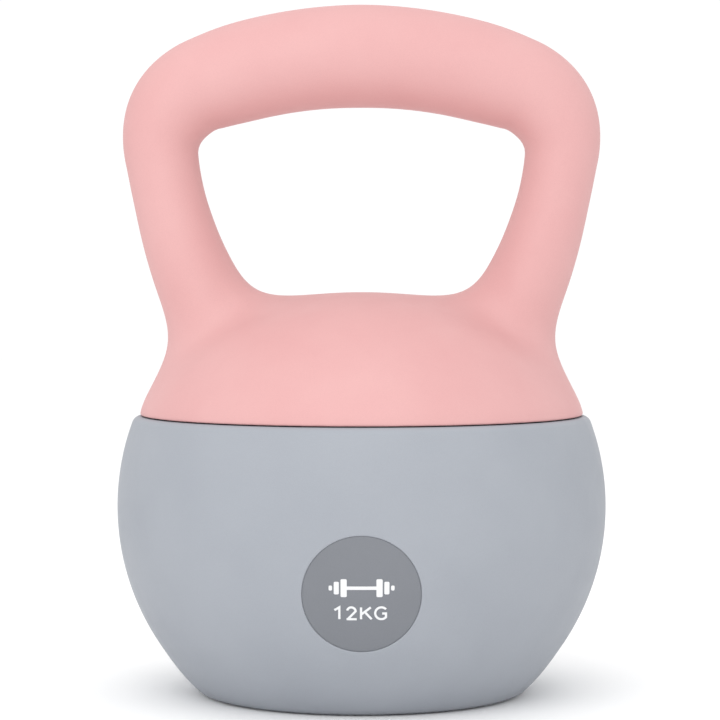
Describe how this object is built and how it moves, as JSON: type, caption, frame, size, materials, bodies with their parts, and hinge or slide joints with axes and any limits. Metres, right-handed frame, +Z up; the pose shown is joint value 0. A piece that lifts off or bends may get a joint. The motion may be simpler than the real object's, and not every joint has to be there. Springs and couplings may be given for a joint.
{
  "type": "kettlebell",
  "caption": "Soft kettlebell: a moulded loop grip flowing into a domed shoulder, over a soft ballast-filled bowl with a flat base and a round weight badge.",
  "frame": {"origin": "centre of the circle the base rests on", "axes": "+Z up out of the base towards the grip, X along the grip, -Y towards the badge on the front"},
  "size_m": [0.195, 0.195, 0.2744],
  "materials": {
    "cover": "matte pink soft PVC, fine satin grain",
    "bowl": "matte light blue-grey soft PVC, fine satin grain",
    "badge": "smooth satin mid grey",
    "print": "white pad-printed ink",
    "gasket": "black rubber",
    "core_steel": "bare mild steel",
    "screws": "zinc-plated steel",
    "inserts": "turned brass",
    "sand": "dark iron sand",
    "neck": "dark grey moulded plastic"
  },
  "bodies": {
    "root": {"handle_cover": "cover", "handle_core": "core_steel", "core_plate": "core_steel", "leg_welds": "core_steel", "plate_screws": "screws", "plate_washers": "screws", "threaded_inserts": "inserts", "seam_gasket": "gasket", "bowl": "bowl", "iron_sand": "sand", "filler_neck": "neck", "filler_plug": "neck", "plug_seal": "gasket", "badge": "badge", "badge_print": "print"}
  },
  "joints": []
}
